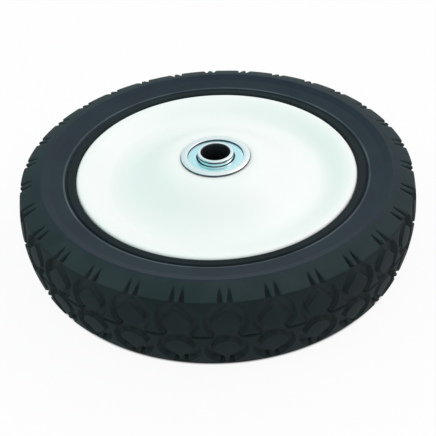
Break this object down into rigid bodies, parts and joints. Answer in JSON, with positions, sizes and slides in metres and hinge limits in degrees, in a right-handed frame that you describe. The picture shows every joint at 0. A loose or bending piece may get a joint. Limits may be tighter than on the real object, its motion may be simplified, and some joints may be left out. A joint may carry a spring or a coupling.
{
  "type": "machine wheel",
  "caption": "Small machine wheel: black rubber tyre with a block tread, two pressed white steel discs and a flanged ball bearing on each side of the hub.",
  "frame": {"origin": "on the axle line, in the plane that the lower sidewall rests on when the wheel lies flat", "axes": "+Z along the axle, out of the front side; +X and +Y across the wheel"},
  "size_m": [0.1778, 0.1778, 0.0428],
  "materials": {
    "tyre_rubber": "satin",
    "disc_enamel": "gloss",
    "plated_steel": "polished",
    "shield_steel": "satin",
    "ball_steel": "polished",
    "tube_steel": "satin"
  },
  "bodies": {
    "wheel": {"tyre": "tyre_rubber", "front_disc": "disc_enamel", "back_disc": "disc_enamel", "hub_tube": "tube_steel", "front_outer_race": "plated_steel", "back_outer_race": "plated_steel", "front_shield": "shield_steel", "back_shield": "shield_steel", "front_retainer": "tube_steel", "back_retainer": "tube_steel"},
    "axle_rings": {"front_inner_race": "plated_steel", "spacer_tube": "tube_steel", "back_inner_race": "plated_steel"},
    "front_balls": {"front_ball_1": "ball_steel", "front_ball_2": "ball_steel", "front_ball_3": "ball_steel", "front_ball_4": "ball_steel", "front_ball_5": "ball_steel", "front_ball_6": "ball_steel", "front_ball_7": "ball_steel", "front_ball_8": "ball_steel", "front_ball_9": "ball_steel", "front_ball_10": "ball_steel", "front_ball_11": "ball_steel", "front_ball_12": "ball_steel", "front_ball_13": "ball_steel"},
    "back_balls": {"back_ball_1": "ball_steel", "back_ball_2": "ball_steel", "back_ball_3": "ball_steel", "back_ball_4": "ball_steel", "back_ball_5": "ball_steel", "back_ball_6": "ball_steel", "back_ball_7": "ball_steel", "back_ball_8": "ball_steel", "back_ball_9": "ball_steel", "back_ball_10": "ball_steel", "back_ball_11": "ball_steel", "back_ball_12": "ball_steel", "back_ball_13": "ball_steel"}
  },
  "joints": [
    {"name": "wheel_spin", "type": "hinge", "parent": "wheel", "child": "axle_rings", "pos_m": [0, 0, 0.0221], "axis": [0, 0, 1], "continuous": true},
    {"name": "front_ball_orbit", "type": "hinge", "parent": "wheel", "child": "front_balls", "pos_m": [0, 0, 0.03685], "axis": [0, 0, 1], "continuous": true},
    {"name": "back_ball_orbit", "type": "hinge", "parent": "wheel", "child": "back_balls", "pos_m": [0, 0, 0.00735], "axis": [0, 0, 1], "continuous": true}
  ],
  "couplings": [
    {"joint": "front_ball_orbit", "follows": "wheel_spin", "ratio": 0.3908},
    {"joint": "back_ball_orbit", "follows": "wheel_spin", "ratio": 0.3908}
  ]
}
